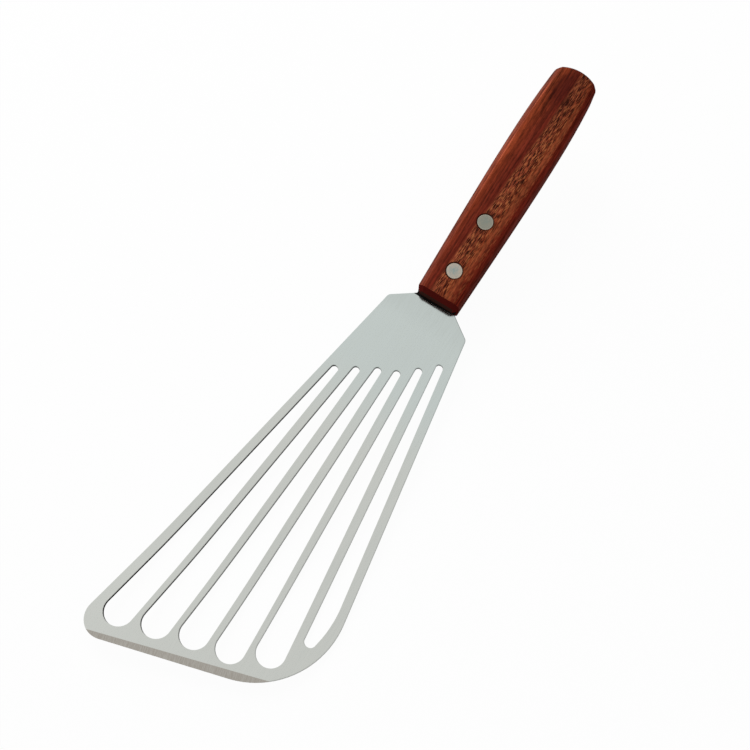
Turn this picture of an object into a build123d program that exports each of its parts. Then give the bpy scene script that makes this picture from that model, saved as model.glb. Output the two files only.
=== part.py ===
from build123d import *
import os
from math import asin, atan2, cos, degrees, hypot, radians, sin, tan

# A fish spatula: one springy sheet of stainless steel with six long slots, whose tang runs back
# into a saw cut in a one-piece wooden handle, and two flush two-part rivets that hold it there.
# Lengths are in millimetres and angles in degrees. While the pieces are made, the flat middle of
# the blade lies level. X runs from the handle to the front edge, and the blade leaves the handle
# at x = 0. The front edge is slanted: its sharp, foremost corner, the toe, is on the -Y side, and
# its large round corner, the heel, is on the +Y side.

# Side view of the sheet, along its underside
sheet_thickness = 1.1
neck_bend_radius = 70.0
handle_rise = 9.0
tip_bend_start = 122.0
tip_bend_radius = 115.0
tip_rise = 10.0

# Outline of the blade, seen from above
tang_length = 52.0
tang_width = 17.2
tang_corner_radius = 3.0
shoulder_start = 0.25
shoulder_reach = 6.8
shoulder_width = 35.7
shoulder_radius = 2.5
toe_fan_angle = 8.87
heel_fan_angle = 8.62
blade_reach = 164.45
front_slant = 15.67
toe_radius = 7.4
heel_radius = 33.4

# Five slots with round ends. Each row of shares runs from the toe side to the heel side: how far
# forward the middle of each end lies, as a share of the reach, and how far out from the middle
# line, as a share of the half width on its side there.
slot_top_radius = 1.45
slot_end_radius = 5.37
slot_top_reach_shares = (0.272, 0.247, 0.221, 0.203, 0.1695)
slot_top_side_shares = (-0.798, -0.509, -0.204, 0.103, 0.420)
slot_end_reach_shares = (0.987, 0.966, 0.9425, 0.926, 0.888)
slot_end_side_shares = (-0.782, -0.473, -0.161, 0.166, 0.493)

# The sixth slot, which follows the heel side of the outline. Its bend's radius is a share of how
# far the slot runs past the bend, and its end's radius is a share of the end's width.
outer_rim_top_width = 3.8
outer_rim_bend_width = 3.42
outer_slot_top_radius = 1.3
outer_slot_top_reach_share = 0.127
outer_slot_bend_reach_share = 0.774
outer_slot_end_reach_share = 0.8367
outer_slot_inner_top_share = 0.668
outer_slot_inner_end_share = 0.711
outer_slot_outer_end_share = 0.810
outer_slot_bend_radius_share = 4.17
outer_slot_end_radius_share = 0.55

# Bevel ground on the top of the front edge, wider towards the heel
bevel_toe_width = 1.8
bevel_heel_width = 3.4
bevel_angle = 13.0

# Wooden handle
handle_length = 111.6
handle_thickness = 16.0
handle_front_width = 18.2
handle_belly_width = 21.4
handle_belly_place = 66.0
handle_butt_width = 18.8
butt_arc_radius = 15.0
butt_corner_radius = 2.2
butt_edge_radius = 0.8
front_flare = 1.5
butt_taper = 5.5
long_edge_chamfer = 2.1
front_end_chamfer = 1.8

# Saw cut in the handle
kerf_clearance = 0.05
kerf_depth = 54.0
saw_radius = 100.0

# Rivets: a socket from below and a pin pressed into it from above
rivet_head_diameter = 6.5
rivet_head_thickness = 1.8
rivet_rim_chamfer = 0.2
socket_diameter = 4.2
pin_diameter = 2.6
rivet_clearance = 0.05
socket_end_gap = 0.4
pin_end_gap = 0.6
front_rivet_place = 13.2
rivet_spacing = 23.4

# How far a cut runs past what it cuts
overrun = 5.0

# Places along the side view
rise = radians(handle_rise)
lift = radians(tip_rise)
neck_length = neck_bend_radius * sin(rise)
neck_height = neck_bend_radius * (1 - cos(rise))
tip_start = tip_bend_start + tip_bend_radius * sin(lift)
tip_height = tip_bend_radius * (1 - cos(lift))

# The handle lies on the middle plane of the tang, with its own x from the front end to the butt
half_sheet = sheet_thickness / 2
handle_plane = Plane(
    origin=(half_sheet * sin(rise), 0, neck_height + half_sheet * cos(rise)),
    x_dir=(-cos(rise), 0, sin(rise)),
    z_dir=(sin(rise), 0, cos(rise)),
)
half_handle = handle_thickness / 2
rivet_places = [(front_rivet_place, 0), (front_rivet_place + rivet_spacing, 0)]

# Outline of the blade from the middle line out
toe_slope = tan(radians(toe_fan_angle))
heel_slope = tan(radians(heel_fan_angle))
front_slope = tan(radians(front_slant))


def half_width(x, fan_slope):
    """Half the width of the blade at x, on the side whose edge fans out with this slope."""
    return shoulder_width / 2 + fan_slope * (x - shoulder_reach)


def blade_point(reach_share, side_share):
    """A point given as a share of the reach and a share of the half width on its side there."""
    x = reach_share * blade_reach
    return x, side_share * half_width(x, heel_slope if side_share > 0 else toe_slope)


toe_x = (blade_reach + front_slope * half_width(0, toe_slope)) / (1 - front_slope * toe_slope)
heel_x = (blade_reach - front_slope * half_width(0, heel_slope)) / (1 + front_slope * heel_slope)
toe = (toe_x, -half_width(toe_x, toe_slope))
heel = (heel_x, half_width(heel_x, heel_slope))


# Blade
# The side view, drawn along the underside and thickened upwards, is drawn out across the whole
# width. The outline seen from above then cuts it, and the slots and rivet holes are cut through.
with BuildPart() as blade:
    with BuildSketch(Plane.XZ) as side_view:
        with BuildLine():
            tang_end = (-tang_length * cos(rise), neck_height + tang_length * sin(rise))
            tang_line = Line(tang_end, (0, neck_height))
            TangentArc((0, neck_height), (neck_length, 0), tangent=tang_line % 1)
            flat_line = Line((neck_length, 0), (tip_bend_start, 0))
            TangentArc((tip_bend_start, 0), (tip_start, tip_height), tangent=flat_line % 1)
            tip_length = toe_x - tip_start
            Line((tip_start, tip_height), (toe_x, tip_height + tip_length * tan(lift)))
            offset(amount=sheet_thickness, side=Side.LEFT)
        make_face()
    extrude(amount=overrun - toe[1], both=True)

    with BuildSketch() as outline:
        with BuildLine():
            corners = [
                (-tang_length * cos(rise), tang_width / 2),
                (shoulder_start, tang_width / 2),
                (shoulder_reach, shoulder_width / 2),
                heel,
                toe,
                (shoulder_reach, -shoulder_width / 2),
                (shoulder_start, -tang_width / 2),
                (-tang_length * cos(rise), -tang_width / 2),
            ]
            Polyline(corners, close=True)
        make_face()
        fillet(outline.vertices().group_by(Axis.X)[0], tang_corner_radius)
        fillet(outline.vertices().group_by(Axis.X)[-3], shoulder_radius)
        fillet(outline.vertices().group_by(Axis.X)[-2], heel_radius)
        fillet(outline.vertices().group_by(Axis.X)[-1], toe_radius)
    extrude(amount=blade_reach, both=True, mode=Mode.INTERSECT)

    ends = zip(slot_top_reach_shares, slot_top_side_shares, slot_end_reach_shares, slot_end_side_shares)
    for top_reach, top_side, end_reach, end_side in ends:
        with BuildSketch():
            with Locations(blade_point(top_reach, top_side)):
                Circle(slot_top_radius)
            with Locations(blade_point(end_reach, end_side)):
                Circle(slot_end_radius)
            make_hull()
        extrude(amount=blade_reach, both=True, mode=Mode.SUBTRACT)

    with BuildSketch() as outer_slot:
        top_x, inner_top_y = blade_point(outer_slot_top_reach_share, outer_slot_inner_top_share)
        bend_x = outer_slot_bend_reach_share * blade_reach
        outer_top_y = half_width(top_x, heel_slope) - outer_rim_top_width / cos(radians(heel_fan_angle))
        bend_y = half_width(bend_x, heel_slope) - outer_rim_bend_width / cos(radians(heel_fan_angle))
        end_x, outer_end_y = blade_point(outer_slot_end_reach_share, outer_slot_outer_end_share)
        end_x, inner_end_y = blade_point(outer_slot_end_reach_share, outer_slot_inner_end_share)
        bend_radius = outer_slot_bend_radius_share * (end_x - bend_x)
        end_radius = outer_slot_end_radius_share * (outer_end_y - inner_end_y)
        with BuildLine():
            slot_corners = [
                (top_x, inner_top_y),
                (top_x, outer_top_y),
                (bend_x, bend_y),
                (end_x, outer_end_y),
                (end_x, inner_end_y),
            ]
            Polyline(slot_corners, close=True)
        make_face()
        fillet(outer_slot.vertices().group_by(Axis.X)[1], bend_radius)
        fillet(outer_slot.vertices().group_by(Axis.X)[0], outer_slot_top_radius)
        fillet(outer_slot.vertices().group_by(Axis.X)[-1], end_radius)
    extrude(amount=blade_reach, both=True, mode=Mode.SUBTRACT)

    with BuildSketch(handle_plane):
        with Locations(*rivet_places):
            Circle(socket_diameter / 2 + rivet_clearance)
    extrude(amount=sheet_thickness, both=True, mode=Mode.SUBTRACT)

    # The grinding plane goes through two points on the top of the tip, one near each corner,
    # and slopes down towards the front edge
    top_height = tip_height + sheet_thickness / cos(lift)

    def bevel_point(y, width):
        """A point on top of the tip, the given width behind the front edge."""
        x = blade_reach - front_slope * y - width / cos(radians(front_slant))
        return Vector(x, y, top_height + (x - tip_start) * tan(lift))

    bevel_toe = bevel_point(toe[1], bevel_toe_width)
    bevel_line = bevel_point(heel[1], bevel_heel_width) - bevel_toe
    tip_normal = Vector(-sin(lift), 0, cos(lift))
    bevel_normal = tip_normal.rotate(Axis((0, 0, 0), bevel_line), bevel_angle)
    split(bisect_by=Plane(bevel_toe, x_dir=bevel_line, z_dir=bevel_normal), keep=Keep.BOTTOM)
blade.part.label = "blade"


# Handle
# The barrel-shaped outline is drawn up and down from the tang's middle plane. The long edges and
# the front end are chamfered, the butt is rounded, and the saw cut and rivet bores are cut last.
with BuildPart() as handle:
    with BuildSketch(handle_plane) as barrel:
        half_butt = handle_butt_width / 2
        butt_sag = butt_arc_radius - (butt_arc_radius**2 - half_butt**2) ** 0.5
        butt_place = handle_length - butt_sag
        with BuildLine():
            side = Spline(
                (0, handle_front_width / 2),
                (handle_belly_place, handle_belly_width / 2),
                (butt_place, half_butt),
                tangents=[
                    (cos(radians(front_flare)), sin(radians(front_flare))),
                    (cos(radians(butt_taper)), -sin(radians(butt_taper))),
                ],
            )
            mirror(side, about=Plane.XZ)
            ThreePointArc((butt_place, half_butt), (handle_length, 0), (butt_place, -half_butt))
            Line((0, handle_front_width / 2), (0, -handle_front_width / 2))
        make_face()
    extrude(amount=half_handle, both=True)

    lengthwise = Axis(handle_plane.origin, handle_plane.x_dir)
    upwards = Axis(handle_plane.origin, handle_plane.z_dir)
    flat_faces = [handle.faces().sort_by(upwards)[0], handle.faces().sort_by(upwards)[-1]]
    long_edges = [edge for face in flat_faces for edge in face.edges().sort_by(lengthwise)[1:-1]]
    chamfer(long_edges, long_edge_chamfer)
    chamfer(handle.faces().sort_by(lengthwise)[0].edges(), front_end_chamfer)

    with BuildSketch(handle_plane) as rounded:
        add(barrel.sketch_local)
        fillet(rounded.vertices().group_by(Axis.X)[-1], butt_corner_radius)
    extrude(amount=half_handle, both=True, mode=Mode.INTERSECT)
    curved_edges = handle.edges().filter_by(GeomType.LINE, reverse=True)
    fillet(curved_edges.filter_by_position(lengthwise, handle_belly_place, handle_length), butt_edge_radius)

    with BuildSketch(handle_plane):
        with Locations((kerf_depth - saw_radius, 0)):
            Circle(saw_radius)
        with Locations((-overrun, 0)):
            Rectangle(
                overrun + kerf_depth,
                handle_belly_width + overrun,
                align=(Align.MIN, Align.CENTER),
                mode=Mode.INTERSECT,
            )
    extrude(amount=half_sheet + kerf_clearance, both=True, mode=Mode.SUBTRACT)

    with BuildSketch(handle_plane):
        with Locations(*rivet_places):
            Circle(socket_diameter / 2 + rivet_clearance)
    extrude(amount=half_handle, both=True, mode=Mode.SUBTRACT)
    for height in (half_handle, rivet_head_thickness - half_handle):
        with BuildSketch(handle_plane.offset(height)):
            with Locations(*rivet_places):
                Circle(rivet_head_diameter / 2 + rivet_clearance)
        extrude(amount=-rivet_head_thickness, mode=Mode.SUBTRACT)
handle.part.label = "handle"

pieces = [blade, handle]


# Rivets
# Each is turned about its own upright axis. The socket's tube starts on its head below and ends
# just under the pin's head, and the pin fills the socket's bore from above.
def rivet_profile(corners):
    """The half section of a turned piece, from its axis out, with the head's rim chamfered."""
    with BuildSketch(mode=Mode.PRIVATE) as section:
        with BuildLine():
            Polyline(corners, close=True)
        make_face()
        outermost = section.vertices().group_by(Axis.X)[-1]
        chamfer(outermost.sort_by(lambda vertex: abs(vertex.Y))[-1], rivet_rim_chamfer)
    return section.sketch


head = rivet_head_diameter / 2
shank = pin_diameter / 2
tube = socket_diameter / 2
head_seat = half_handle - rivet_head_thickness
socket_corners = [
    (0, -half_handle),
    (head, -half_handle),
    (head, -head_seat),
    (tube, -head_seat),
    (tube, head_seat - socket_end_gap),
    (shank, head_seat - socket_end_gap),
    (shank, -head_seat),
    (0, -head_seat),
]
pin_corners = [
    (0, half_handle),
    (head, half_handle),
    (head, head_seat),
    (shank, head_seat),
    (shank, pin_end_gap - head_seat),
    (0, pin_end_gap - head_seat),
]
for row, (place, offset_y) in zip(("front", "rear"), rivet_places):
    for kind, corners in (("socket", socket_corners), ("pin", pin_corners)):
        middle = handle_plane.from_local_coords((place, offset_y, 0))
        upright = Plane(middle, x_dir=handle_plane.x_dir, z_dir=-handle_plane.y_dir)
        with BuildPart() as rivet:
            with BuildSketch(upright):
                add(rivet_profile(corners))
            revolve(axis=Axis(middle, handle_plane.z_dir))
        rivet.part.label = f"{row}_rivet_{kind}"
        pieces.append(rivet)


# Rest
# The spatula lies on the lower edge of the handle's front end and on the belly of the blade,
# where the tip starts to rise. The line that touches both becomes level, and the origin goes
# under the middle of the whole object's box.
front_edge = handle_plane.from_local_coords((front_end_chamfer, 0, -half_handle))
to_centre = Vector(tip_bend_start, 0, tip_bend_radius) - front_edge
distance = hypot(to_centre.X, to_centre.Z)
rest_tilt = degrees(atan2(to_centre.Z, to_centre.X) - asin(tip_bend_radius / distance))
for piece in pieces:
    piece.part.move(Location((0, 0, 0), (0, rest_tilt, 0)))
box = Compound([piece.part for piece in pieces]).bounding_box()
for piece in pieces:
    piece.part.move(Location((-box.center().X, -box.center().Y, -box.min.Z)))

os.makedirs("parts", exist_ok=True)
for piece in pieces:
    export_step(piece.part, f"parts/{piece.part.label}.step")
print("tilt at rest", rest_tilt, "size", box.size)
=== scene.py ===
# %% [markdown]
# # A fish spatula in its working finish
#
# A fish spatula is one long sheet of springy steel with slots, and a wooden handle riveted round
# its tang. The CAD model has those shapes already, so nothing here is moved or resized. Blender
# gives the pieces what a drawing leaves out: wood with the sharpness taken off, satin steel, a
# ground front edge, oiled open pores, and the light to see them by.
#
# The sheet has a sharp front corner, called its toe below, and a round one, called its heel.

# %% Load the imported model
import math

import bpy
from mathutils import Color, Matrix, Vector


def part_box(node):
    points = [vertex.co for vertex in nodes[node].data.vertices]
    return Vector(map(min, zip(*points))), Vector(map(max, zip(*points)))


MM_PER_M = 1000

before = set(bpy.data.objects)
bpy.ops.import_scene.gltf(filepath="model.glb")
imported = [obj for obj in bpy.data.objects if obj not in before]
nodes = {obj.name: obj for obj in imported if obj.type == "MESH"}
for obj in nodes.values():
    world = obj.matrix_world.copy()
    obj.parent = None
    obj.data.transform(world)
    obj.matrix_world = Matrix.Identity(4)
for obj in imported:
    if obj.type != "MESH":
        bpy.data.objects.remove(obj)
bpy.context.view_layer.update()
for name in nodes:
    low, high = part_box(name)
    print(name, "in mm:", [round(MM_PER_M * (b - a), 1) for a, b in zip(low, high)])

# %% [markdown]
# ## Shader sums written as sums
#
# A finish such as satin steel is a small calculation over the surface: so much colour here, so
# much roughness there. It could be wired by hand, one Math node at a time, but then nobody can
# read it. So a wire below stands for the output of a node, and adding, subtracting or multiplying
# wires adds the Math node that does it. A vector or a colour goes through Vector Math instead,
# because a plain Math node would turn its three numbers into one.

# %% A wire that can be calculated with
def is_number(value):
    """True for a plain number or a wire that carries one, and not for a vector or a colour."""
    if isinstance(value, Wire):
        return value.socket.type == "VALUE"
    return isinstance(value, (int, float))


class Wire:
    """The output of a shader node. Python sums with it become Math nodes."""

    def __init__(self, maker, socket):
        self.maker = maker
        self.socket = socket

    def combine(self, operation, left, right):
        """Add the node that works out one sum, for numbers or for vectors."""
        numbers_only = is_number(left) and is_number(right)
        kind = "ShaderNodeMath" if numbers_only else "ShaderNodeVectorMath"
        return self.maker.add(kind, {"operation": operation}, {0: left, 1: right})

    def __add__(self, other):
        return self.combine("ADD", self, other)

    __radd__ = __add__

    def __sub__(self, other):
        return self.combine("SUBTRACT", self, other)

    def __rsub__(self, other):
        return self.combine("SUBTRACT", other, self)

    def __mul__(self, other):
        return self.combine("MULTIPLY", self, other)

    __rmul__ = __mul__

    def __pow__(self, other):
        return self.combine("POWER", self, other)


print("a wire can be added, subtracted, multiplied and raised to a power")

# %% A maker of nodes
class NodeMaker:
    """Adds nodes to one material or world."""

    def __init__(self, owner):
        owner.use_nodes = True
        self.owner = owner
        self.tree = owner.node_tree
        self.tree.nodes.clear()

    def add(self, kind, settings=None, inputs=None, output=None):
        """Make a node: its kind, then its settings, then the values or wires of its inputs."""
        node = self.tree.nodes.new(kind)
        for name, value in (settings or {}).items():
            if name == "stops":
                self.set_stops(node.color_ramp, value)
            else:
                setattr(node, name, value)
        for name, value in (inputs or {}).items():
            self.plug(self.find(node.inputs, name), value)
        found = self.find(node.outputs, output or 0)
        return Wire(self, found) if found else None

    def find(self, sockets, name):
        """The socket with this name or number, among those that the node's settings leave open."""
        open_sockets = [socket for socket in sockets if socket.enabled]
        if isinstance(name, int):
            return open_sockets[name] if open_sockets else None
        return next(socket for socket in open_sockets if socket.name == name)

    def plug(self, socket, value):
        """Link a wire to an input, or set the input to a value."""
        if isinstance(value, Wire):
            self.tree.links.new(value.socket, socket)
        elif socket.type == "VECTOR" and isinstance(value, (int, float)):
            socket.default_value = (value, value, value)
        elif socket.type == "RGBA":
            socket.default_value = (*value, 1.0)
        else:
            socket.default_value = value

    def set_stops(self, ramp, stops):
        """Put the colours of a ramp at their positions."""
        while len(ramp.elements) < len(stops):
            ramp.elements.new(1.0)
        for element, (position, colour) in zip(ramp.elements, stops):
            element.position = position
            element.color = (*colour, 1.0)

    def report(self, words):
        """Print how many nodes there are so far."""
        print(words, "has", len(self.tree.nodes), "nodes")


print("the node maker takes a node's kind, settings and inputs")

# %% [markdown]
# ## Small helpers for finishes
#
# Colours are easiest to judge as a screen shows them, from 0 to 255, but Blender counts in real
# light, so one helper turns the first into the second. The others blend two colours by a mask,
# make a soft step, which is how a mask starts and ends without a jagged border, measure along a
# direction, and give random streaks. With them, most of a finish is one line for each thing that
# an eye would name: a stripe, a pore, a stain. A number behind a mask says how strongly it covers
# what lies below, and a pair of numbers says where a soft step starts and ends.

# %% Colour, blend and step
def seen(red, green, blue):
    """A colour as a screen shows it, in the linear values that Blender counts in."""
    return tuple(Color((red / 255, green / 255, blue / 255)).from_srgb_to_scene_linear())


def blend(maker, mask, first, second):
    """The first colour where the mask is 0 and the second where it is 1."""
    settings = {"data_type": "RGBA", "clamp_factor": True}
    return maker.add("ShaderNodeMix", settings, {"Factor": mask, "A": first, "B": second})


def step(maker, value, start, end):
    """From 0 at start to 1 at end, with soft ends."""
    settings = {"interpolation_type": "SMOOTHSTEP"}
    inputs = {"Value": value, "From Min": start, "From Max": end}
    return maker.add("ShaderNodeMapRange", settings, inputs)


print("a screen's mid grey is", round(seen(128, 128, 128)[0], 3), "in real light")

# %% Directions and streaks
def dot(maker, vector, direction):
    """How far a vector reaches along a direction."""
    settings = {"operation": "DOT_PRODUCT"}
    inputs = {0: vector, 1: tuple(direction)}
    return maker.add("ShaderNodeVectorMath", settings, inputs, output="Value")


def noise(maker, stretched_place, detail=2.0, roughness=0.5):
    """Soft random values round 0.5. A place stretched one way gives streaks along it."""
    inputs = {"Vector": stretched_place, "Scale": 1.0, "Detail": detail, "Roughness": roughness}
    return maker.add("ShaderNodeTexNoise", inputs=inputs, output="Fac")


def facing(maker):
    """The way a face looks, flat all over it."""
    return maker.add("ShaderNodeNewGeometry", output="True Normal")


def facing_round_edges(maker, radius):
    """The way a surface would look if its edges had a round of this radius, in metres."""
    return maker.add("ShaderNodeBevel", {"samples": 8}, {"Radius": radius})


AHEAD = Vector((1, 0, 0))
TO_HEEL = Vector((0, 1, 0))
UP = Vector((0, 0, 1))
print("the blade points towards", tuple(AHEAD), "and its heel lies towards", tuple(TO_HEEL))

# %% [markdown]
# ## Where the handle lies
#
# The handle slopes up from the blade, and its grain runs along it. The finish has to know that
# direction, or the pores would cut across the wood at a slant. It could be typed in as an angle.
# Here it is taken from the two rivets, which stand on the handle's middle line, so the grain
# stays right if the model is ever made again with another slope.

# %% Find the grain direction
FRONT_RIVET_FROM_END = 0.0132


def rivet_middle(row):
    """The middle of a rivet's two halves together, which lies on the handle's middle line."""
    corners = [corner for half in ("pin", "socket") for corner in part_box(f"{row}_rivet_{half}")]
    low = Vector([min(corner[i] for corner in corners) for i in range(3)])
    high = Vector([max(corner[i] for corner in corners) for i in range(3)])
    return (low + high) / 2


front_rivet = rivet_middle("front")
rear_rivet = rivet_middle("rear")
grain = (rear_rivet - front_rivet).normalized()
through_the_wood = TO_HEEL.cross(grain)
slope = math.degrees(math.asin(grain.z))
print("the handle rises by", round(slope, 2), "degrees")

# %% Places along the handle, in mm from its front end
handle_front = front_rivet - grain * FRONT_RIVET_FROM_END
handle_front_mm = tuple(MM_PER_M * handle_front)
front_rivet_at = MM_PER_M * FRONT_RIVET_FROM_END
rear_rivet_at = front_rivet_at + MM_PER_M * (rear_rivet - front_rivet).length
print("the rivets stand at", round(front_rivet_at, 1), "and", round(rear_rivet_at, 1), "mm")

# %% [markdown]
# ## Taking the sharpness off the wood
#
# The handle is sanded after it is cut, so each of its edges has a narrow round that catches the
# light. A whole new mesh could be modelled for that, but a Bevel modifier does it on the CAD mesh
# and leaves its vertices alone. The imported mesh has a seam of doubled points along each edge, so
# a Weld comes first, and a Weighted Normal last, which keeps the large flat faces looking flat.
# The sheet gets no modifier. The curves of its slots are cut into such short pieces that a round
# has no width to grow there, so the steel's shader finds those edges by itself, further on.

# %% Soften the handle's edges
SEAM_GAP = 0.000001
SANDED_ROUND = 0.00045
SHARPER_THAN = math.radians(30)
FLAT_FACE_WEIGHT = 80

handle = nodes["handle"]
weld = handle.modifiers.new("close the seams", "WELD")
weld.merge_threshold = SEAM_GAP
edge = handle.modifiers.new("rounded edges", "BEVEL")
edge.width = SANDED_ROUND
edge.segments = 3
edge.limit_method = "ANGLE"
edge.angle_limit = SHARPER_THAN
edge.harden_normals = False
normals = handle.modifiers.new("flat faces stay flat", "WEIGHTED_NORMAL")
normals.keep_sharp = False
normals.weight = FLAT_FACE_WEIGHT
softened = handle.evaluated_get(bpy.context.evaluated_depsgraph_get()).data
print("the handle has", len(handle.data.polygons), "faces, and", len(softened.polygons), "softened")

# %% [markdown]
# ## The satin steel
#
# The sheet has the even, slightly green-grey satin of stainless steel that was polished in the
# roll, along its length. Metal has no colour of its own beyond what it reflects, so the finish is
# one metallic base colour, a little warmer among the slots, with very faint lines along the sheet.
# A strong brushed texture would be easy, and wrong: the real sheet looks calm.

# %% The place on the steel, and its satin
STEEL = seen(189, 197, 194)
WARM_STEEL = seen(194, 196, 191)
SATIN_SHADE = seen(170, 175, 170)
WARM_AMONG_SLOTS = (0.0, 40.0)
SATIN_STRETCH = (0.06, 2.2, 1.0)
SATIN_CONTRAST = 0.7
SATIN_SHARE = 0.12

steel = NodeMaker(bpy.data.materials.new("satin_steel"))
steel_place = steel.add("ShaderNodeTexCoord", output="Object") * MM_PER_M
satin_lines = noise(steel, steel_place * SATIN_STRETCH, detail=3.0, roughness=0.65)
among_slots = step(steel, dot(steel, steel_place, AHEAD), *WARM_AMONG_SLOTS)
satin_colour = blend(steel, among_slots, STEEL, WARM_STEEL)
satin_shade = (satin_lines - 0.5) * SATIN_CONTRAST + SATIN_SHARE
satin_colour = blend(steel, satin_shade, satin_colour, SATIN_SHADE)
steel.report("satin steel")

# %% [markdown]
# ## The ground front edge
#
# The front edge is ground from above at a low angle, so that it slides under a fillet. The
# grinding belt leaves a duller face than the rolled sheet, with short scratches straight across
# the edge. Its darker, browner colour is partly that duller grind and partly painted reflection of
# darker surroundings in the tilted face. The face is flat and ends on a straight line, so the
# shader finds it by its distance ahead of that line, and no second material has to be fitted along
# it.

# %% Find the ground face
GROUND_LINE_TOE = Vector((143.41, -41.04, 0))
GROUND_LINE_HEEL = Vector((117.87, 43.40, 0))
GROUND_BORDER = (-0.04, 0.04)
FACES_UP = (0.6, 0.8)

along_edge = (GROUND_LINE_HEEL - GROUND_LINE_TOE).normalized()
ahead_of_edge = along_edge.cross(UP)
past_line = dot(steel, steel_place, ahead_of_edge) - ahead_of_edge.dot(GROUND_LINE_TOE)
steel_facing_up = dot(steel, facing(steel), UP)
ground = step(steel, past_line, *GROUND_BORDER) * step(steel, steel_facing_up, *FACES_UP)
slant = math.degrees(math.atan2(along_edge.x, along_edge.y))
print("the ground face runs at", round(slant, 1), "degrees to the width")

# %% Scratches across the ground face
GROUND_SHADE = seen(154, 149, 141)
GROUND_STEEL = seen(166, 163, 156)
SCRATCH_LENGTHWISE = 0.25
SCRATCH_CROSSWISE = 2.6
SCRATCH_CONTRAST = (0.35, 0.65)

scratch_place = steel.add("ShaderNodeCombineXYZ", inputs={
    "X": past_line * SCRATCH_LENGTHWISE,
    "Y": dot(steel, steel_place, along_edge) * SCRATCH_CROSSWISE,
    "Z": 0.0,
})
scratches = noise(steel, scratch_place, detail=3.0)
scratch_shade = step(steel, scratches, *SCRATCH_CONTRAST)
# The darker, browner ground colour is partly the duller grind and partly painted reflection.
ground_colour_and_reflection = blend(steel, scratch_shade, GROUND_SHADE, GROUND_STEEL)
steel_colour = blend(steel, ground, satin_colour, ground_colour_and_reflection)
steel.report("satin steel with its ground edge")

# %% [markdown]
# ## The cut edges of the slots
# Where the sheet was cut through, its walls were never polished, and their dark grey is partly that
# rougher cut and partly painted shade. Along the edges that face the heel, thin black lines of
# painted shade run along the slots, strongest towards the toe, and those lines give the sheet its
# thickness. They could be a strip of dark mesh along each slot. Here the Bevel node tells the shader
# which way the surface would face if the edges were rounded: close to an edge it leans over, and
# that lean is the mask. Polished metal seen at a flat angle always turns white, so where the shade is
# painted the surface stops being metal. Polished metal seen at a flat angle
# always turns white, so the lines are dark because they stop being metal.

# %% Walls, and painted shade on their edges
WALL_STEEL_AND_SHADE = seen(60, 60, 60)
WALL_STRENGTH = 0.7
STANDS_UPRIGHT = (0.75, 0.35)
EDGE_REACH = 0.0007
EDGE_LEAN = (0.06, 0.25)
HEEL_TO_TOE = (30.0, -40.0)
WEAKEST_EDGE_SHADE = 0.25

steel_aside = dot(steel, steel_place, TO_HEEL)
facing_flat = steel.add("ShaderNodeMath", {"operation": "ABSOLUTE"}, {0: steel_facing_up})
wall = step(steel, facing_flat, *STANDS_UPRIGHT)
# The walls' dark grey is partly the unpolished cut and partly painted shade.
steel_colour = blend(steel, wall * WALL_STRENGTH, steel_colour, WALL_STEEL_AND_SHADE)
# Painted shade: a black line along each edge that faces the heel, strongest towards the toe.
leaning_to_heel = dot(steel, facing_round_edges(steel, EDGE_REACH), TO_HEEL)
edge_shade_strength = WEAKEST_EDGE_SHADE + step(steel, steel_aside, *HEEL_TO_TOE) * (1 - WEAKEST_EDGE_SHADE)
painted_edge_shade = step(steel, leaning_to_heel, *EDGE_LEAN) * edge_shade_strength * (1 - ground)
steel.report("satin steel with its cut edges")

# %% [markdown]
# ## The dark joint in front of the handle
#
# Right where the sheet goes into the wood, a black line of painted shade bows a little onto the
# steel: the shadow in the corner and the reflection of the handle's dark front end. A thin strip of
# mesh could lie there, but it would stand proud of the sheet. So the line is a band that is measured
# along the grain from the handle's front end, wider in the middle than at the sides. The steel
# beside it is rubbed smoother, so the dark front of the handle is mirrored there with a crisp border.

# %% Painted shade at the joint
PAINTED_BLACK_SHADE = seen(30, 27, 26)
JOINT_BORDER = (-0.56, -0.44)
JOINT_BOW = 0.55
JOINT_HALF_WIDTH = 10
CALM_NEAR_HANDLE = (-14.0, -3.0)
CALM_STRENGTH = 0.8

behind_front_end = dot(steel, steel_place - handle_front_mm, grain)
off_middle = steel_aside * (1 / JOINT_HALF_WIDTH)
bow = (1 - off_middle * off_middle) * JOINT_BOW
# Painted shade: the shadow in the corner and the reflection of the handle's dark front end.
joint = step(steel, behind_front_end + bow, *JOINT_BORDER)
calm = step(steel, behind_front_end, *CALM_NEAR_HANDLE) * CALM_STRENGTH
# The painted shade of the edges and of the joint together, which also stops being metal.
dark = 1 - (1 - painted_edge_shade) * (1 - joint)
steel_colour = blend(steel, dark, steel_colour, PAINTED_BLACK_SHADE)
steel.report("satin steel with its dark joint")

# %% Satin steel, finished
SATIN_ROUGHNESS = 0.25
SATIN_VARIES = 0.12
CALM_IS_SMOOTHER = 0.15
GROUND_IS_ROUGHER = 0.1
WALL_IS_ROUGHER = 0.2
SATIN_RELIEF = 0.3
SATIN_DEPTH = 0.00005

satin_roughness = SATIN_ROUGHNESS + (satin_lines - 0.5) * (1 - calm) * SATIN_VARIES
satin_roughness = satin_roughness - calm * CALM_IS_SMOOTHER
satin_relief = satin_lines * (1 - ground) * (1 - calm) * SATIN_RELIEF + scratches * ground
satin_bump = steel.add("ShaderNodeBump", inputs={
    "Height": satin_relief,
    "Strength": 0.12,
    "Distance": SATIN_DEPTH,
})
steel_surface = steel.add("ShaderNodeBsdfPrincipled", inputs={
    "Base Color": steel_colour,
    "Metallic": 1 - dark,
    "Roughness": satin_roughness + ground * GROUND_IS_ROUGHER + wall * WALL_IS_ROUGHER,
    "Specular IOR Level": 0.0,
    "Normal": satin_bump,
})
steel.add("ShaderNodeOutputMaterial", inputs={"Surface": steel_surface})
nodes["blade"].material_slots[0].material = steel.owner
steel.report("the finished steel")

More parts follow.
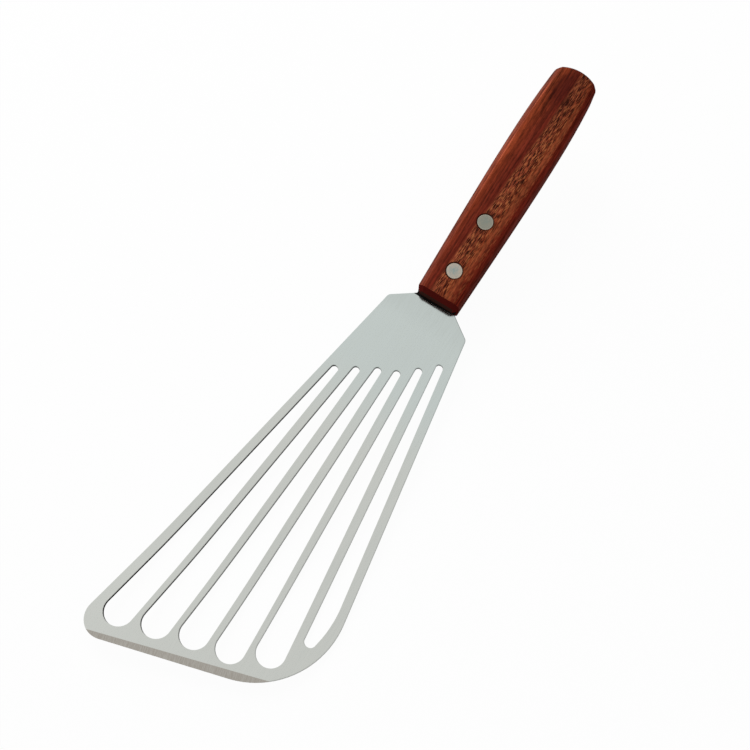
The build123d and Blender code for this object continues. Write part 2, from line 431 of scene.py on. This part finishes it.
# %% [markdown]
# ## The figure of the wood
#
# The handle is a reddish-brown hardwood with open pores. A plank shows the year rings as long
# stripes, and here a dark, smooth stripe runs left of the middle with a lighter, coarse one to its
# right. An image could be wrapped round the handle, but it would smear on the ends. The stripes
# are calculated in three dimensions instead, so they run through the block as real rings do: they
# tilt with the depth, lean a little over the length of the handle, and drift from side to side.

# %% Along, aside and through the wood
wood = NodeMaker(bpy.data.materials.new("oiled_hardwood"))
wood_place = wood.add("ShaderNodeTexCoord", output="Object") * MM_PER_M - handle_front_mm
along = dot(wood, wood_place, grain)
aside = dot(wood, wood_place, TO_HEEL)
through = dot(wood, wood_place, through_the_wood)


def in_the_grain(lengthwise, sideways, per_mm):
    """A place for a texture whose marks are long along the grain and this many per mm across it."""
    inputs = {"X": lengthwise, "Y": sideways * per_mm, "Z": through * per_mm}
    return wood.add("ShaderNodeCombineXYZ", inputs=inputs)


print("the grain runs along", [round(value, 3) for value in grain])

# %% Stripes of the year rings
RING_TILT = 0.35
RING_LEAN = 0.053
RING_SHIFT = 0.8
RING_DRIFT = 3.5
TOP_FACE = 8.0
MID_LENGTH = 60.0
STRIPES_SPAN = 20
RING_STOPS = [
    (0.00, seen(116, 52, 32)),
    (0.14, seen(138, 60, 34)),
    (0.24, seen(116, 46, 26)),
    (0.36, seen(104, 39, 25)),
    (0.46, seen(93, 31, 20)),
    (0.52, seen(122, 58, 38)),
    (0.66, seen(122, 57, 36)),
    (0.78, seen(118, 51, 28)),
    (0.84, seen(130, 62, 37)),
    (0.95, seen(96, 34, 19)),
]

drift = (noise(wood, in_the_grain(along * 0.016, aside, 0.06)) - 0.5) * RING_DRIFT
tilted = aside - (through - TOP_FACE) * RING_TILT
ring_place = tilted + drift + RING_SHIFT - (along - MID_LENGTH) * RING_LEAN
stripes_place = ring_place * (1 / STRIPES_SPAN) + 0.5
stripes = wood.add("ShaderNodeValToRGB", {"stops": RING_STOPS}, {"Fac": stripes_place})
wood.report("hardwood with its stripes")

# %% [markdown]
# ## Fibres, and a darker butt
#
# Between the stripes the wood is never one even brown. Long fibres, shorter flames and fine hairs
# of lighter and darker wood lie over each other along the grain. One noise stretched very far
# would look like combed paint, so three with different stretches are added up. The wood also grows
# darker towards the butt and a little brighter towards the front.

# %% Lighter and darker wood along the grain
FIBRES, FLAME, HAIRS = 0.50, 0.44, 0.44
EVEN_FIGURE = (FIBRES + FLAME + HAIRS) / 2


def wood_streaks(per_mm_along, per_mm_across, contrast):
    """Soft streaks along the grain, from 0 to 1."""
    place = in_the_grain(along * per_mm_along, aside, per_mm_across)
    return step(wood, noise(wood, place, detail=3.0, roughness=0.6), *contrast)


fibres = wood_streaks(0.025, 0.85, contrast=(0.36, 0.64))
flame = wood_streaks(0.25, 1.2, contrast=(0.34, 0.66))
hairs = wood_streaks(0.05, 1.9, contrast=(0.38, 0.62))
figure = fibres * FIBRES + flame * FLAME + hairs * HAIRS - EVEN_FIGURE
wood.report("hardwood with its fibres measured")

# %% Tone from the front to the butt
TONE = 1.12
BUTT_IS_DARKER, BUTT_DARKENS = 0.30, (70.0, 98.0)
FRONT_IS_BRIGHTER, FRONT_BRIGHTENS = 0.12, (60.0, 25.0)

darker_butt = step(wood, along, *BUTT_DARKENS)
brighter_front = step(wood, along, *FRONT_BRIGHTENS)
tone = TONE - darker_butt * BUTT_IS_DARKER + brighter_front * FRONT_IS_BRIGHTER
wood_colour = stripes * (tone + figure)
wood.report("hardwood with its fibres and tone")

# %% [markdown]
# ## Open pores
#
# Cut lengthwise, the wood's pores show as dark dashes, a millimetre or two long and very narrow,
# packed closely in the coarse stripe and almost missing in the smooth one. They could be drawn one
# by one as small dents. A Voronoi texture scatters points and gives the distance to the nearest,
# and when its space is pressed together along the grain, the round spots become dashes. On the end
# of the handle they stay dots, as real pores do. Three sets lie over each other: large pores, fine
# ones, and the pale flecks of wood between them.

# %% Dashes along the grain
PORE_LEAN = 0.07
COARSE_BEGINS, COARSE_THINS = (-0.6, 0.6), (4.8, 6.8)
LARGE_PORE_SIZE, FINE_PORE_SIZE, FLECK_SIZE = (0.30, 0.18), (0.40, 0.22), (0.52, 0.30)


def dashes(per_mm_along, per_mm_across, shift):
    """The distance to the nearest of many points, drawn out along the grain. A shift gives others."""
    place = in_the_grain(along * per_mm_along + shift, aside - along * PORE_LEAN, per_mm_across)
    inputs = {"Vector": place, "Scale": 1.0}
    return wood.add("ShaderNodeTexVoronoi", {"feature": "F1"}, inputs, output="Distance")


still_coarse = 1 - step(wood, ring_place, *COARSE_THINS) * 0.7
coarse = step(wood, ring_place, *COARSE_BEGINS) * still_coarse
large_dashes = dashes(0.30, 2.3, shift=0.0) - coarse * 0.16
pores = step(wood, large_dashes, *LARGE_PORE_SIZE) * (0.4 + coarse * 0.6)
fine_dashes = dashes(0.30, 2.9, shift=80.0)
fine_pores = step(wood, fine_dashes, *FINE_PORE_SIZE) * (0.22 + coarse * 0.68)
fleck_dashes = dashes(0.34, 1.7, shift=40.0)
flecks = step(wood, fleck_dashes, *FLECK_SIZE) * coarse * (1 - darker_butt * 0.5)
wood.report("hardwood with its pores measured")

# %% The colours of pores and flecks
PALE_FLECK = seen(184, 108, 66)
FINE_PORE = seen(50, 13, 7)
LARGE_PORE = seen(42, 11, 6)

wood_colour = blend(wood, flecks * 0.74, wood_colour, PALE_FLECK)
wood_colour = blend(wood, fine_pores, wood_colour, FINE_PORE)
wood_colour = blend(wood, pores * 0.92, wood_colour, LARGE_PORE)
wood.report("hardwood with its pores")

# %% [markdown]
# ## The heel side
#
# Each long edge of the handle has a chamfer. On the heel side the chamfer and the side below it
# lie away from the window, so they look darker and cooler, and that is painted into their colour:
# painted shade, with a greyer, purplish painted sheen low down. The handle could have a second
# material there, with a border to place by hand. The way a face looks is enough: the same wood gets
# another tone where it faces the heel, and the dark red line of painted shade on the ridge above the
# chamfer comes from a Bevel node, as the painted shade on the edges of the steel did.

# %% Which way the wood looks
RIDGE_REACH = 0.0009
CHAMFER_FACING = (0.55, 0.65)
SIDE_FACING = (0.75, 0.90)

wood_facing = facing(wood)
facing_front = dot(wood, wood_facing, -grain)
facing_toe = dot(wood, wood_facing, -TO_HEEL)
facing_heel = dot(wood, wood_facing, TO_HEEL)
rounded_facing = facing_round_edges(wood, RIDGE_REACH)
wood.report("hardwood that knows its sides")

# %% Painted shade and sheen on the ridge, chamfer and side towards the heel
HEEL_RIDGE_SHADE = seen(100, 22, 8)
HEEL_CHAMFER_SHADE = seen(112, 36, 26)
HEEL_CHAMFER_SHADE_AND_SHEEN = seen(104, 52, 48)
HEEL_SIDE_SHADE_AND_SHEEN = seen(104, 54, 46)
HEEL_RIDGE_LEAN = (0.10, 0.25)
DOWN_HEEL_CHAMFER = (7.0, 5.4)

heel_chamfer = step(wood, facing_heel, *CHAMFER_FACING)
rounded_to_heel = dot(wood, rounded_facing, TO_HEEL)
painted_ridge_shade = step(wood, rounded_to_heel, *HEEL_RIDGE_LEAN) * (1 - heel_chamfer)
heel_side = step(wood, facing_heel, *SIDE_FACING)
heel_depth = step(wood, through, *DOWN_HEEL_CHAMFER)
heel_shade_and_sheen = blend(wood, heel_depth, HEEL_CHAMFER_SHADE, HEEL_CHAMFER_SHADE_AND_SHEEN)
# Painted shade: a dark red line along the ridge above the heel chamfer.
wood_colour = blend(wood, painted_ridge_shade * 0.85, wood_colour, HEEL_RIDGE_SHADE)
# Painted shade on the heel chamfer and side, with a greyer painted sheen low down.
wood_colour = blend(wood, heel_chamfer * 0.85, wood_colour, heel_shade_and_sheen * (1 + figure * 1.1))
wood_colour = blend(wood, heel_side * 0.65, wood_colour, HEEL_SIDE_SHADE_AND_SHEEN * (1 + figure))
wood.report("hardwood with its heel side")

# %% [markdown]
# ## The ends
#
# Wood drinks the most oil where its pores are cut across, so the ends are the darkest places of
# the handle: the butt, the front chamfer, and the front end, which is almost black below the
# chamfer. Each could have a material of its own, fitted face by face. A mask that finds an end by
# the way it faces along the grain does the same, and it works on the rounded edges too.

# %% Butt, front chamfer and end grain
BUTT_END = seen(58, 20, 18)
FRONT_CHAMFER = seen(86, 24, 20)
END_GRAIN = seen(62, 36, 30)
BUTT_FACING = (-0.25, -0.60)
FRONT_CHAMFER_FACING = (0.3, 0.65)
FRONT_END_FACING = (0.8, 0.95)
BELOW_FRONT_CHAMFER = (5.8, 5.4)

butt_end = step(wood, facing_front, *BUTT_FACING)
front_chamfer = step(wood, facing_front, *FRONT_CHAMFER_FACING)
below_chamfer = step(wood, through, *BELOW_FRONT_CHAMFER)
end_grain = step(wood, facing_front, *FRONT_END_FACING) * below_chamfer
wood_colour = blend(wood, butt_end * 0.7, wood_colour, BUTT_END)
wood_colour = blend(wood, front_chamfer, wood_colour, FRONT_CHAMFER)
wood_colour = blend(wood, end_grain, wood_colour, END_GRAIN)
wood.report("hardwood with its ends")

# %% [markdown]
# ## A stain, and rings round the rivets
#
# Near the butt the wood has a dark stain, and round each rivet head some finish has settled in the
# joint between metal and wood. Both could be painted on by hand. As they are round or oval, the
# distance from a middle is all that a mask needs.

# %% A stain near the butt
STAIN = seen(66, 18, 16)
STAIN_ALONG, STAIN_ASIDE = 101.0, -3.0
STAIN_HALF_LENGTH, STAIN_HALF_WIDTH = 9, 4
STAIN_BORDER = (1.0, 0.1)

stain_x = (along - STAIN_ALONG) * (1 / STAIN_HALF_LENGTH)
stain_y = (aside - STAIN_ASIDE) * (1 / STAIN_HALF_WIDTH)
stain = step(wood, stain_x * stain_x + stain_y * stain_y, *STAIN_BORDER)
wood_colour = blend(wood, stain * 0.5, wood_colour, STAIN)
print("the stain lies", STAIN_ALONG, "mm from the front end")

# %% Dark rings round the rivets
DARK_RING = seen(36, 14, 8)
RING_BORDER = (3.85, 3.5)


def ring_round(rivet_at):
    """A disc a little wider than the rivet head at this place, so that a ring of it shows."""
    offset = along - rivet_at
    distance = (offset * offset + aside * aside) ** 0.5
    return step(wood, distance, *RING_BORDER)


rings = ring_round(front_rivet_at) + ring_round(rear_rivet_at)
wood_colour = blend(wood, rings * 0.85, wood_colour, DARK_RING)
wood.report("hardwood with its stain and rings")

# %% [markdown]
# ## The worn ridge on the toe side
#
# Where the flat top meets the long chamfer on the toe side, the ridge faces the window, and its
# shine is painted in paler streaks. The chamfer and the side below it have a tone of their own, as
# they have on the heel side: a greyer painted sheen low on the chamfer and painted shade on the side.
# A noise could break the shine up anywhere along the ridge. The streaks are placed instead, each
# with a middle, a length and a strength, because on the real handle they have their places, and the
# ridge is found by its lean: more than the top, and less than the chamfer.

# %% Painted sheen and shade on the chamfer and side towards the toe
TOE_CHAMFER_HIGH = seen(112, 52, 38)
TOE_CHAMFER_LOW_SHEEN = seen(114, 74, 64)
TOE_SIDE_SHADE = seen(78, 38, 30)
DOWN_TOE_CHAMFER = (7.5, 5.8)
NOT_THE_FRONT = (0.3, 0.1)

behind_front_chamfer = step(wood, facing_front, *NOT_THE_FRONT)
toe_chamfer = step(wood, facing_toe, *CHAMFER_FACING) * behind_front_chamfer * (1 - butt_end)
toe_side = step(wood, facing_toe, *SIDE_FACING)
toe_depth = step(wood, through, *DOWN_TOE_CHAMFER)
toe_tone_and_sheen = blend(wood, toe_depth, TOE_CHAMFER_HIGH, TOE_CHAMFER_LOW_SHEEN)
# A greyer painted sheen low on the toe chamfer, and painted shade on the toe side.
wood_colour = blend(wood, toe_chamfer * 0.6, wood_colour, toe_tone_and_sheen * (1 + figure * 1.2))
wood_colour = blend(wood, toe_side * 0.5, wood_colour, TOE_SIDE_SHADE * (1 + figure))
wood.report("hardwood with its toe side")

# %% Painted highlight in streaks on the ridge
RIDGE_HIGHLIGHT = seen(216, 108, 74)
HIGHLIGHT_ALL_ALONG = 0.14
STREAKS = ((50.0, 9.0, 0.25), (67.5, 8.0, 0.60), (94.5, 8.5, 0.55))
STREAK_BORDER = (1.0, 0.2)
PAST_THE_TOP = (0.12, 0.24)
BEFORE_THE_CHAMFER = (0.62, 0.50)
NOT_THE_BUTT = (-0.4, -0.2)

rounded_to_toe = dot(wood, rounded_facing, -TO_HEEL)
ridge = step(wood, rounded_to_toe, *PAST_THE_TOP)
ridge = ridge * step(wood, rounded_to_toe, *BEFORE_THE_CHAMFER)
ridge = ridge * behind_front_chamfer * step(wood, facing_front, *NOT_THE_BUTT)
# Painted highlight: paler streaks where the ridge catches the window's light.
painted_highlight = ridge * HIGHLIGHT_ALL_ALONG
for streak_middle, half_length, strength in STREAKS:
    off_middle = (along - streak_middle) * (1 / half_length)
    painted_highlight = painted_highlight + ridge * step(wood, off_middle * off_middle, *STREAK_BORDER) * strength
wood_colour = blend(wood, painted_highlight, wood_colour, RIDGE_HIGHLIGHT)
print("the ridge has", len(STREAKS), "worn streaks")

# %% [markdown]
# ## Oil
#
# The handle was oiled, not varnished, so it has no wet gloss. A thin, rough coat gives the top a
# faint sheen, and the ends and the chamfer away from the window drank theirs. The pores are real
# dents, and a Bump node raises the fibres and sinks the pores by a tenth of a millimetre.

# %% Oiled wood, finished
OIL = 0.06
SANDED_ROUGHNESS = 0.45
FIBRES_VARY = 0.1
PORES_ARE_ROUGHER = 0.2
PORE_DEPTH = 0.0001

wood_relief = fibres * 0.4 - pores - fine_pores * 0.5 + flecks * 0.3
wood_bump = wood.add("ShaderNodeBump", inputs={
    "Height": wood_relief,
    "Strength": 0.5,
    "Distance": PORE_DEPTH,
})
wood_surface = wood.add("ShaderNodeBsdfPrincipled", inputs={
    "Base Color": wood_colour,
    "Roughness": SANDED_ROUGHNESS + (fibres - 0.5) * FIBRES_VARY + pores * PORES_ARE_ROUGHER,
    "Specular IOR Level": 0.0,
    "Coat Weight": OIL * (1 - front_chamfer) * (1 - heel_chamfer),
    "Coat Roughness": 0.35,
    "Normal": wood_bump,
})
wood.add("ShaderNodeOutputMaterial", inputs={"Surface": wood_surface})
handle.material_slots[0].material = wood.owner
wood.report("the finished hardwood")

# %% [markdown]
# ## The rivet heads
#
# The heads are pressed in and sanded flush with the wood, all in one go. That leaves fine
# scratches, a mottled metal that is cool in the middle and warmer outwards, and a bright rim where
# the edge is worn. The rear head is duller than the front one. Four rivet halves could have four
# materials, but one is enough when it knows how far a point lies from the nearer rivet.

# %% Distance from a rivet's middle
BETWEEN_RIVETS = (front_rivet_at + 5, front_rivet_at + 15)

rivet = NodeMaker(bpy.data.materials.new("sanded_rivet_metal"))
rivet_place = rivet.add("ShaderNodeTexCoord", output="Object") * MM_PER_M - handle_front_mm
rivet_along = dot(rivet, rivet_place, grain)
rivet_aside = dot(rivet, rivet_place, TO_HEEL)
rear = step(rivet, rivet_along, *BETWEEN_RIVETS)
from_front = rivet_along - front_rivet_at
from_rear = rivet_along - rear_rivet_at
offset = from_front * (1 - rear) + from_rear * rear
from_middle = (offset * offset + rivet_aside * rivet_aside) ** 0.5
rivet.report("rivet metal")

# %% Mottled heads with a bright rim
COOL_METAL = seen(130, 142, 138)
WARM_METAL = seen(166, 154, 140)
DULL_METAL = seen(110, 113, 102)
BRIGHT_METAL = seen(180, 172, 156)
MOTTLE_PER_MM = 1.1
MOTTLE_CONTRAST = (0.36, 0.64)
OUTWARDS = (0.4, 2.6)
RIM_BORDER = (2.75, 3.1)

mottle = noise(rivet, rivet_place * MOTTLE_PER_MM, detail=3.0, roughness=0.6)
warmth = step(rivet, from_middle, *OUTWARDS) * 0.5 + step(rivet, mottle, *MOTTLE_CONTRAST) * 0.5
head_colour = blend(rivet, warmth, COOL_METAL, WARM_METAL)
head_colour = blend(rivet, rear * 0.70, head_colour, DULL_METAL)
rim = step(rivet, from_middle, *RIM_BORDER)
head_colour = blend(rivet, rim * 0.6, head_colour, BRIGHT_METAL)
rivet.report("rivet metal with its mottle and rim")

# %% Sanded metal, finished
HEAD_ROUGHNESS = 0.42
SCRATCHES_VARY = 0.2
HEAD_SCRATCH_STRETCH = (3.0, 12.0, 3.0)
HEAD_SCRATCH_DEPTH = 0.00005

head_scratches = noise(rivet, rivet_place * HEAD_SCRATCH_STRETCH)
head_bump = rivet.add("ShaderNodeBump", inputs={
    "Height": head_scratches,
    "Strength": 0.15,
    "Distance": HEAD_SCRATCH_DEPTH,
})
rivet_surface = rivet.add("ShaderNodeBsdfPrincipled", inputs={
    "Base Color": head_colour,
    "Metallic": 1.0,
    "Roughness": HEAD_ROUGHNESS + (head_scratches - 0.5) * SCRATCHES_VARY,
    "Normal": head_bump,
})
rivet.add("ShaderNodeOutputMaterial", inputs={"Surface": rivet_surface})
for name in nodes:
    if "rivet" in name:
        nodes[name].material_slots[0].material = rivet.owner
rivet.report("the finished rivet metal")

# %% [markdown]
# ## A white surround
#
# The spatula lies on a white surface in an even, soft light. A very bright lamp would turn the
# floor white and bleach the steel with it. So the world and the floor look white only to the
# camera and to reflections, and they light the object at a plain level. A little of the floor is
# ordinary white paint, which keeps a trace of the shadow.

# %% The world
AMBIENT = 0.42
WHITE = (1, 1, 1)


def seen_directly(maker):
    """1 for rays from the camera and in reflections, and 0 for light that falls on things."""
    camera_ray = maker.add("ShaderNodeLightPath", output="Is Camera Ray")
    glossy_ray = maker.add("ShaderNodeLightPath", output="Is Glossy Ray")
    through_ray = maker.add("ShaderNodeLightPath", output="Is Transmission Ray")
    total = camera_ray + glossy_ray + through_ray
    return maker.add("ShaderNodeClamp", inputs={"Value": total})


world = bpy.data.worlds.new("white_room")
bpy.context.scene.world = world
room = NodeMaker(world)
room_strength = AMBIENT + (1 - AMBIENT) * seen_directly(room)
room_light = room.add("ShaderNodeBackground", inputs={"Color": WHITE, "Strength": room_strength})
room.add("ShaderNodeOutputWorld", inputs={"Surface": room_light})
room.report("the white room")

# %% The floor's sheet of paper
FLOOR_HALF = 1.6
FLOOR_DROP = 0.0002

floor_mesh = bpy.data.meshes.new("floor")
corners = [(-FLOOR_HALF, -FLOOR_HALF, 0), (FLOOR_HALF, -FLOOR_HALF, 0),
           (FLOOR_HALF, FLOOR_HALF, 0), (-FLOOR_HALF, FLOOR_HALF, 0)]
floor_mesh.from_pydata(corners, [], [(0, 1, 2, 3)])
floor = bpy.data.objects.new("floor", floor_mesh)
bpy.context.collection.objects.link(floor)
floor.location.z = -FLOOR_DROP
print("the floor is", 2 * FLOOR_HALF, "m wide")

# %% White paper that keeps a shadow
SHADOW_SHARE = 0.04
WHITE_PAINT = (0.9, 0.9, 0.9)

paper = NodeMaker(bpy.data.materials.new("white_paper"))
paper_light = paper.add("ShaderNodeEmission", inputs={"Color": WHITE, "Strength": 1.0})
paper_paint = paper.add("ShaderNodeBsdfDiffuse", inputs={"Color": WHITE_PAINT})
paper_mix = seen_directly(paper) * (1 - SHADOW_SHARE)
paper_inputs = {0: paper_mix, 1: paper_paint, 2: paper_light}
paper_surface = paper.add("ShaderNodeMixShader", inputs=paper_inputs)
paper.add("ShaderNodeOutputMaterial", inputs={"Surface": paper_surface})
floor_mesh.materials.append(paper.owner)
paper.report("white paper")

# %% [markdown]
# ## The lamp
#
# One large soft lamp stands on the toe side, behind the handle and fairly low, so the handle's
# near chamfer is bright, its far chamfer and front end are dark, and the wood has a shape. More
# lamps would fill the shadows and flatten it. The lamp's power follows from the light that it gives
# where the spatula lies, so it can be moved without turning everything brighter or darker.

# %% Set up the lamp
def lamp(name, direction, distance, size, share):
    """A square soft lamp that looks at the middle, with its share of a plain white light level."""
    light = bpy.data.lights.new(name, "AREA")
    light.size = size
    light.energy = math.pi ** 2 * distance ** 2 * share
    stand = bpy.data.objects.new(name, light)
    bpy.context.collection.objects.link(stand)
    towards = Vector(direction).normalized()
    stand.location = towards * distance
    stand.rotation_euler = towards.to_track_quat("Z", "Y").to_euler()
    print(name, "stands at", [round(value, 2) for value in stand.location])
    print(name, "gives", round(light.energy, 1), "watts")


lamp("window", direction=(-0.42, -0.72, 0.52), distance=1.3, size=0.9, share=0.90)

# %% [markdown]
# ## The camera
#
# The camera looks down steeply from ahead of the blade and a little to the heel side, rolled so
# that the handle points to the upper right. It could be turned by hand until it looks right. Here
# four measured values set it: where it stands, the direction back from the object to it, which way
# is up in the picture, and how long the lens is for the width of the picture.

# %% Place the camera
CAMERA_PLACE = Vector((0.15295, 0.04420, 0.39120))
CAMERA_BACK = Vector((0.35274, 0.10938, 0.92931))
CAMERA_UP = Vector((-0.77702, -0.51912, 0.35604))
FOCAL_SHARE = 1.44
NEAREST_SEEN = 0.01

camera = bpy.data.cameras.new("camera")
camera.lens = camera.sensor_width * FOCAL_SHARE
camera.clip_start = NEAREST_SEEN
tripod = bpy.data.objects.new("camera", camera)
bpy.context.collection.objects.link(tripod)
camera_right = CAMERA_UP.cross(CAMERA_BACK).normalized()
camera_up = CAMERA_BACK.cross(camera_right).normalized()
rows = [[camera_right[i], camera_up[i], CAMERA_BACK[i], CAMERA_PLACE[i]] for i in range(3)]
tripod.matrix_world = Matrix([*rows, [0, 0, 0, 1]])
bpy.context.scene.camera = tripod
bpy.context.scene.view_settings.view_transform = "Standard"
print("lens", round(camera.lens, 2), "mm,", round(CAMERA_PLACE.z, 3), "m above the floor")
